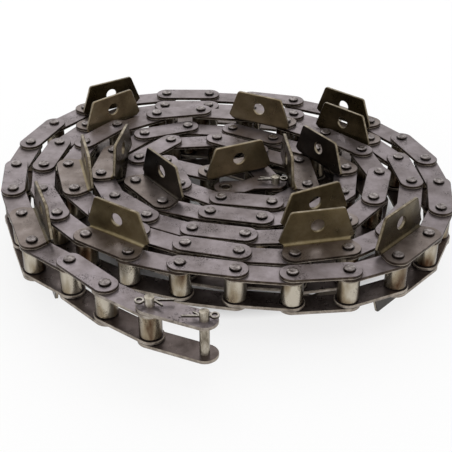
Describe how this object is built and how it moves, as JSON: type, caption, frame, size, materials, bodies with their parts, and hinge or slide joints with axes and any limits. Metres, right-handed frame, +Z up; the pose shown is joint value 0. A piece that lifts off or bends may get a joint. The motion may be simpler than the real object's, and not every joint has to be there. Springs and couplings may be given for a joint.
{
  "type": "conveyor chain",
  "caption": "Coiled steel roller conveyor chain with bent attachment ears, a cottered connecting link and a cranked offset link",
  "frame": {"origin": "On the ground under the middle of the coil's bounding box", "axes": "+Z up along the pins, +X to the right and +Y to the back as seen from the side on which the loose end lies"},
  "size_m": [0.3754, 0.379, 0.0904],
  "materials": {
    "outer_plates": "satin rolled steel",
    "inner_plates": "satin rolled steel",
    "attachment_plates": "oiled heat-treated steel",
    "pins": "bright ground steel",
    "bushes": "case-hardened steel",
    "rollers": "warm grey hardened steel",
    "cotters": "bright wire"
  },
  "bodies": {
    "coil": {"coil_upper_outer_plates": "outer_plates", "coil_lower_outer_plates": "outer_plates", "coil_upper_attachment_plates": "attachment_plates", "coil_lower_attachment_plates": "attachment_plates", "coil_upper_inner_plates": "inner_plates", "coil_lower_inner_plates": "inner_plates", "coil_pins": "pins", "coil_rollers": "rollers", "coil_bushes": "bushes"},
    "inner_link_9": {"inner_link_9_upper_plate": "inner_plates", "inner_link_9_lower_plate": "inner_plates", "inner_link_9_bushes": "bushes"},
    "inner_link_9_roller_a": {"inner_link_9_roller_a": "rollers"},
    "inner_link_9_roller_b": {"inner_link_9_roller_b": "rollers"},
    "outer_link_8": {"outer_link_8_upper_plate": "outer_plates", "outer_link_8_lower_plate": "outer_plates", "outer_link_8_pins": "pins"},
    "inner_link_7": {"inner_link_7_upper_plate": "inner_plates", "inner_link_7_lower_plate": "inner_plates", "inner_link_7_bushes": "bushes"},
    "inner_link_7_roller_a": {"inner_link_7_roller_a": "rollers"},
    "inner_link_7_roller_b": {"inner_link_7_roller_b": "rollers"},
    "outer_link_6": {"outer_link_6_upper_plate": "outer_plates", "outer_link_6_lower_plate": "outer_plates", "outer_link_6_pins": "pins"},
    "inner_link_5": {"inner_link_5_upper_plate": "inner_plates", "inner_link_5_lower_plate": "inner_plates", "inner_link_5_bushes": "bushes"},
    "inner_link_5_roller_a": {"inner_link_5_roller_a": "rollers"},
    "inner_link_5_roller_b": {"inner_link_5_roller_b": "rollers"},
    "attachment_link_4": {"attachment_link_4_upper_plate": "attachment_plates", "attachment_link_4_lower_plate": "attachment_plates", "attachment_link_4_pins": "pins"},
    "inner_link_3": {"inner_link_3_upper_plate": "inner_plates", "inner_link_3_lower_plate": "inner_plates", "inner_link_3_bushes": "bushes"},
    "inner_link_3_roller_a": {"inner_link_3_roller_a": "rollers"},
    "inner_link_3_roller_b": {"inner_link_3_roller_b": "rollers"},
    "outer_link_2": {"outer_link_2_upper_plate": "outer_plates", "outer_link_2_lower_plate": "outer_plates", "outer_link_2_pins": "pins"},
    "inner_link_1": {"inner_link_1_upper_plate": "inner_plates", "inner_link_1_lower_plate": "inner_plates", "inner_link_1_bushes": "bushes"},
    "inner_link_1_roller_a": {"inner_link_1_roller_a": "rollers"},
    "inner_link_1_roller_b": {"inner_link_1_roller_b": "rollers"},
    "connecting_link": {"connecting_link_upper_plate": "outer_plates", "connecting_link_lower_plate": "outer_plates", "connecting_link_end_pin": "pins", "connecting_link_joint_pin": "pins", "connecting_link_cotters": "cotters"},
    "offset_link": {"offset_link_upper_plate": "outer_plates", "offset_link_lower_plate": "outer_plates", "offset_link_pin": "pins", "offset_link_cotter": "cotters", "offset_link_bush": "bushes"},
    "offset_link_roller": {"offset_link_roller": "rollers"}
  },
  "joints": [
    {"name": "link_9_swing", "type": "hinge", "parent": "coil", "child": "inner_link_9", "pos_m": [-0.1317, 0.1483, 0.04262], "axis": [0, 0, 1], "range_deg": [-24, 0]},
    {"name": "link_8_swing", "type": "hinge", "parent": "inner_link_9", "child": "outer_link_8", "pos_m": [-0.15705, 0.11557, 0.04262], "axis": [0, 0, 1], "range_deg": [-28, 0]},
    {"name": "link_7_swing", "type": "hinge", "parent": "outer_link_8", "child": "inner_link_7", "pos_m": [-0.17233, 0.07709, 0.04262], "axis": [0, 0, 1], "range_deg": [-28, 0]},
    {"name": "link_6_swing", "type": "hinge", "parent": "inner_link_7", "child": "outer_link_6", "pos_m": [-0.17784, 0.03606, 0.04262], "axis": [0, 0, 1], "range_deg": [-28, 0]},
    {"name": "link_5_swing", "type": "hinge", "parent": "outer_link_6", "child": "inner_link_5", "pos_m": [-0.17327, -0.00508, 0.04262], "axis": [0, 0, 1], "range_deg": [-28, 0]},
    {"name": "link_4_swing", "type": "hinge", "parent": "inner_link_5", "child": "attachment_link_4", "pos_m": [-0.15955, -0.04415, 0.04262], "axis": [0, 0, 1], "range_deg": [-28, 0]},
    {"name": "link_3_swing", "type": "hinge", "parent": "attachment_link_4", "child": "inner_link_3", "pos_m": [-0.14516, -0.08296, 0.04262], "axis": [0, 0, 1], "range_deg": [-28, 0]},
    {"name": "link_2_swing", "type": "hinge", "parent": "inner_link_3", "child": "outer_link_2", "pos_m": [-0.11328, -0.10938, 0.04262], "axis": [0, 0, 1], "range_deg": [-28, 6]},
    {"name": "link_1_swing", "type": "hinge", "parent": "outer_link_2", "child": "inner_link_1", "pos_m": [-0.08435, -0.13899, 0.04262], "axis": [0, 0, 1], "range_deg": [-28, 8]},
    {"name": "link_0_swing", "type": "hinge", "parent": "inner_link_1", "child": "connecting_link", "pos_m": [-0.05113, -0.1637, 0.04262], "axis": [0, 0, 1], "range_deg": [-30, 20]},
    {"name": "link_9_roller_a_spin", "type": "hinge", "parent": "inner_link_9", "child": "inner_link_9_roller_a", "pos_m": [-0.15705, 0.11557, 0.04262], "axis": [0, 0, 1], "continuous": true},
    {"name": "link_9_roller_b_spin", "type": "hinge", "parent": "inner_link_9", "child": "inner_link_9_roller_b", "pos_m": [-0.1317, 0.1483, 0.04262], "axis": [0, 0, 1], "continuous": true},
    {"name": "link_7_roller_a_spin", "type": "hinge", "parent": "inner_link_7", "child": "inner_link_7_roller_a", "pos_m": [-0.17784, 0.03606, 0.04262], "axis": [0, 0, 1], "continuous": true},
    {"name": "link_7_roller_b_spin", "type": "hinge", "parent": "inner_link_7", "child": "inner_link_7_roller_b", "pos_m": [-0.17233, 0.07709, 0.04262], "axis": [0, 0, 1], "continuous": true},
    {"name": "link_5_roller_a_spin", "type": "hinge", "parent": "inner_link_5", "child": "inner_link_5_roller_a", "pos_m": [-0.15955, -0.04415, 0.04262], "axis": [0, 0, 1], "continuous": true},
    {"name": "link_5_roller_b_spin", "type": "hinge", "parent": "inner_link_5", "child": "inner_link_5_roller_b", "pos_m": [-0.17327, -0.00508, 0.04262], "axis": [0, 0, 1], "continuous": true},
    {"name": "link_3_roller_a_spin", "type": "hinge", "parent": "inner_link_3", "child": "inner_link_3_roller_a", "pos_m": [-0.11328, -0.10938, 0.04262], "axis": [0, 0, 1], "continuous": true},
    {"name": "link_3_roller_b_spin", "type": "hinge", "parent": "inner_link_3", "child": "inner_link_3_roller_b", "pos_m": [-0.14516, -0.08296, 0.04262], "axis": [0, 0, 1], "continuous": true},
    {"name": "link_1_roller_a_spin", "type": "hinge", "parent": "inner_link_1", "child": "inner_link_1_roller_a", "pos_m": [-0.05113, -0.1637, 0.04262], "axis": [0, 0, 1], "continuous": true},
    {"name": "link_1_roller_b_spin", "type": "hinge", "parent": "inner_link_1", "child": "inner_link_1_roller_b", "pos_m": [-0.08435, -0.13899, 0.04262], "axis": [0, 0, 1], "continuous": true},
    {"name": "offset_link_swing", "type": "hinge", "parent": "coil", "child": "offset_link", "pos_m": [0.04226, 0.00517, 0.04262], "axis": [0, 0, 1], "range_deg": [-12, 1]},
    {"name": "offset_roller_spin", "type": "hinge", "parent": "offset_link", "child": "offset_link_roller", "pos_m": [0.0009, 0.00335, 0.04262], "axis": [0, 0, 1], "continuous": true}
  ]
}
